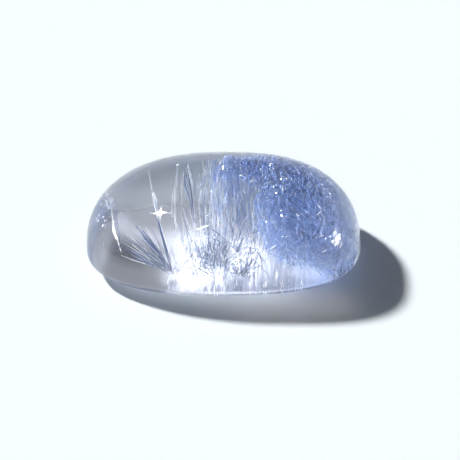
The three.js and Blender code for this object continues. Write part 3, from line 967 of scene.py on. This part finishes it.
# What the stone lets through falls in its own shadow as a soft bright patch. One lamp straight
# over the patch lights the table alone, and the stone casts no shadow from it.
PATCH_MIDDLE = millimetres(3.2, -4.7, 0)
PATCH_SIZE = (8.0 * MM, 2.4 * MM)
PATCH_HEIGHT = 25 * MM
PATCH_SPREAD = math.radians(8)
PATCH_POWER = 1.2e-5
PATCH_COLOUR = "#fff0e2"
table_only = bpy.data.collections.new("table_only")
table_only.objects.link(table)
patch_lamp = bpy.data.objects.new("patch_lamp", bpy.data.lights.new("patch_lamp", "AREA"))
patch_lamp.data.shape = "ELLIPSE"
patch_lamp.data.size, patch_lamp.data.size_y = PATCH_SIZE
patch_lamp.data.spread = PATCH_SPREAD
patch_lamp.data.energy = PATCH_POWER
patch_lamp.data.color = linear(PATCH_COLOUR)[:3]
patch_lamp.location = PATCH_MIDDLE + Vector((0, 0, PATCH_HEIGHT))
patch_lamp.visible_camera = patch_lamp.visible_glossy = patch_lamp.visible_transmission = False
patch_lamp.light_linking.receiver_collection = table_only
patch_lamp.light_linking.blocker_collection = table_only
bpy.context.scene.collection.objects.link(patch_lamp)

# Clear stone lets light in to the crystals, which plain ray tracing finds only by chance. So
# four lamps light the crystals alone, and the quartz casts no shadow from them: the lamp as it
# stands seen from inside the stone, the room on both sides in front, and what the white table in
# front throws back up.
CRYSTAL_LAMPS = (  # way, spread in degrees, strength, colour
    ((-0.437, 0.252, 0.863), 14, 5.5, "#fff6e2"),
    ((-0.6, -0.5, 0.75), 40, 6.0, "#fff6e2"),
    ((0.5, -0.7, 0.6), 60, 4.6, "#fff6e2"),
    ((0.1, -0.8, -0.8), 100, 6.5, "#fff6e8"),
)
CRYSTAL_LAMP_DISTANCE = 0.05
crystals_only = bpy.data.collections.new("crystals_only")
for piece in bpy.context.scene.objects:
    if piece.get("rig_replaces") and piece is not polished_quartz:
        crystals_only.objects.link(piece)
for number, (way, spread_angle, strength, colour) in enumerate(CRYSTAL_LAMPS):
    way = Vector(way).normalized()
    name = f"crystal_lamp_{number}"
    lamp = bpy.data.objects.new(name, bpy.data.lights.new(name, "AREA"))
    lamp.data.shape = "DISK"
    lamp.data.size = 2 * CRYSTAL_LAMP_DISTANCE * math.tan(math.radians(spread_angle / 2))
    lamp.data.energy = strength * math.pi * CRYSTAL_LAMP_DISTANCE**2
    lamp.data.color = linear(colour)[:3]
    lamp.location = way * CRYSTAL_LAMP_DISTANCE
    lamp.rotation_euler = way.to_track_quat("Z", "Y").to_euler()
    lamp.visible_camera = False
    lamp.light_linking.receiver_collection = crystals_only
    lamp.light_linking.blocker_collection = crystals_only
    bpy.context.scene.collection.objects.link(lamp)

# The room, by height above the horizon: bright low down, darker above. Its windows are soft
# bright patches. They and the bluer colour of its left side, which the stone bends into view in
# its blue end, show only through the stone, so they leave the table's light as it is.
ROOM_COLOUR = "#e8ecf9"
ROOM_LEFT_COLOUR = "#bed2ff"
LEFT_BLEND = (0.0, -30.0)  # degrees from straight behind, as are the bearings below
HORIZON_STRENGTH, OVERHEAD_STRENGTH = 0.84, 0.085
HORIZON_BLEND = (10.0, 23.5)  # degrees above the horizon
WINDOWS = (  # bearing, height, half width, half height and soft edge in degrees, and strength
    (1, 34, 8, 14, 5, 2.2),
    (6, 44, 12, 12, 8, 0.5),
    (38, 47, 30, 4, 3, 0.75),
    (34, 26, 24, 4, 5, 0.24),
    (65, 30, 14, 12, 8, 0.4),
    (-17, 26, 21, 9, 8, 1.35),
    (0, 60, 100, 13, 6, 0.26),
    (18, 61, 50, 6, 4, 0.2),
)
room = bpy.data.worlds.new("pale_room")
bpy.context.scene.world = room
room.use_nodes = True
tree = room.node_tree
tree.nodes.clear()
way = add_node(tree, "ShaderNodeTexCoord")
parts = add_node(tree, "ShaderNodeSeparateXYZ", {0: way.outputs["Generated"]})
height = add_node(tree, "ShaderNodeMath", {0: parts.outputs["Z"]}, operation="ARCSINE")
bearing = add_node(
    tree, "ShaderNodeMath", {0: parts.outputs["X"], 1: parts.outputs["Y"]}, operation="ARCTAN2"
)
degrees = {}
for name, angle in (("height", height), ("bearing", bearing)):
    degrees[name] = add_node(
        tree, "ShaderNodeMath", {0: angle.outputs[0], 1: 180 / math.pi}, operation="MULTIPLY"
    ).outputs[0]
horizon = add_node(
    tree,
    "ShaderNodeMapRange",
    {
        "Value": degrees["height"],
        "From Min": HORIZON_BLEND[0],
        "From Max": HORIZON_BLEND[1],
        "To Min": HORIZON_STRENGTH,
        "To Max": OVERHEAD_STRENGTH,
    },
    interpolation_type="SMOOTHSTEP",
)
windows = 0.0
for window_bearing, window_height, half_width, half_height, soft, strength in WINDOWS:
    patch = strength
    for name, middle, half in (
        ("bearing", window_bearing, half_width),
        ("height", window_height, half_height),
    ):
        offset = add_node(
            tree, "ShaderNodeMath", {0: degrees[name], 1: middle}, operation="SUBTRACT"
        )
        away = add_node(tree, "ShaderNodeMath", {0: offset.outputs[0]}, operation="ABSOLUTE")
        edge = add_node(
            tree,
            "ShaderNodeMapRange",
            {
                "Value": away.outputs[0],
                "From Min": max(0.0, half - soft),
                "From Max": half + soft,
                "To Min": 1.0,
                "To Max": 0.0,
            },
            interpolation_type="SMOOTHSTEP",
        )
        patch = add_node(
            tree, "ShaderNodeMath", {0: patch, 1: edge.outputs[0]}, operation="MULTIPLY"
        ).outputs[0]
    windows = add_node(
        tree, "ShaderNodeMath", {0: windows, 1: patch}, operation="ADD"
    ).outputs[0]
path = add_node(tree, "ShaderNodeLightPath")
through_stone = add_node(
    tree,
    "ShaderNodeMath",
    {0: path.outputs["Transmission Depth"], 1: 0.5},
    operation="GREATER_THAN",
)
room_light = add_node(
    tree,
    "ShaderNodeMath",
    {0: windows, 1: through_stone.outputs[0], 2: horizon.outputs[0]},
    operation="MULTIPLY_ADD",
)
left_share = add_node(
    tree,
    "ShaderNodeMapRange",
    {"Value": degrees["bearing"], "From Min": LEFT_BLEND[0], "From Max": LEFT_BLEND[1]},
    interpolation_type="SMOOTHSTEP",
)
left_through_stone = add_node(
    tree,
    "ShaderNodeMath",
    {0: left_share.outputs["Result"], 1: through_stone.outputs[0]},
    operation="MULTIPLY",
)
room_colour = add_node(
    tree,
    "ShaderNodeMix",
    {0: left_through_stone.outputs[0], 6: linear(ROOM_COLOUR), 7: linear(ROOM_LEFT_COLOUR)},
    data_type="RGBA",
)
glow = add_node(
    tree,
    "ShaderNodeBackground",
    {"Color": room_colour.outputs[2], "Strength": room_light.outputs[0]},
)
add_node(tree, "ShaderNodeOutputWorld", {"Surface": glow.outputs["Background"]})

# A small catch light for the star on the dome: crossed bright strips that only the polish shows.
# Their long sides lie the way that the dome mirrors as across and as down the picture.
STAR_WAY = Vector((-0.408, 0.033, 0.912)).normalized()
STAR_DISTANCE = 0.5
STAR_GAP = 0.002  # from each strip to the next, so that none lies in another
ACROSS, DOWN = Vector((0.049, -0.035, 0.019)), Vector((-0.011, -0.208, -0.021))
STAR_STRIPS = (  # the way the long side lies, length and width in degrees, and strength
    (ACROSS, 18, 3.6, 5.0),
    (ACROSS, 10, 5.0, 12.0),
    (DOWN, 34, 1.0, 5.0),
    (DOWN, 20, 1.8, 12.0),
    (DOWN, 9, 4.5, 60.0),
)
for number, (long_way, width, height, strength) in enumerate(STAR_STRIPS):
    star_x = (long_way - STAR_WAY * long_way.dot(STAR_WAY)).normalized()
    star_turn = Matrix((star_x, STAR_WAY.cross(star_x), STAR_WAY)).transposed()
    name = f"star_strip_{number}"
    strip = bpy.data.objects.new(name, bpy.data.lights.new(name, "AREA"))
    strip.data.shape = "ELLIPSE"
    strip.data.size = 2 * STAR_DISTANCE * math.tan(math.radians(width / 2))
    strip.data.size_y = 2 * STAR_DISTANCE * math.tan(math.radians(height / 2))
    strip.data.energy = strength * math.pi * strip.data.size * strip.data.size_y
    strip.location = STAR_WAY * (STAR_DISTANCE + STAR_GAP * number)
    strip.rotation_euler = star_turn.to_euler()
    strip.visible_diffuse = strip.visible_transmission = strip.visible_camera = False
    bpy.context.scene.collection.objects.link(strip)

# The camera: a long lens, 36 degrees above the table, straight on to the long side. Its scale
# and its aim put the stone where it lies in the photograph.
STONE_LENGTH = 15.0 * MM
STONE_LENGTH_PIXELS = 273.2
PIXEL = STONE_LENGTH / STONE_LENGTH_PIXELS
STONE_PIXEL = (223.5, 254.2)  # where the middle of the stone's back lies in the photograph
CAMERA_RISE = math.radians(36)
CAMERA_DISTANCE = 280 * MM
SENSOR = 36  # millimetres
FRAME = 460  # pixels
sight = Vector((0, math.cos(CAMERA_RISE), -math.sin(CAMERA_RISE)))
upward = Vector((0, math.sin(CAMERA_RISE), math.cos(CAMERA_RISE)))
target = Vector(((FRAME / 2 - STONE_PIXEL[0]) * PIXEL, 0, 0))
target -= upward * (FRAME / 2 - STONE_PIXEL[1]) * PIXEL
camera = bpy.data.objects.new("camera", bpy.data.cameras.new("camera"))
camera.data.sensor_width = SENSOR
camera.data.lens = SENSOR * CAMERA_DISTANCE / (FRAME * PIXEL)
camera.data.clip_start = 0.01
camera.data.clip_end = 5
camera.location = target - sight * CAMERA_DISTANCE
camera.rotation_euler = (-sight).to_track_quat("Z", "Y").to_euler()
bpy.context.scene.collection.objects.link(camera)
bpy.context.scene.camera = camera

# How light is followed and shown. It crosses the stone and its crystals many times, so it gets
# many bounces, and the bright glints aren't cut down.
scene = bpy.context.scene
scene.view_settings.view_transform = "Standard"
scene.cycles.max_bounces = 24
scene.cycles.transmission_bounces = 24
scene.cycles.sample_clamp_indirect = 0
scene.cycles.blur_glossy = 1.0
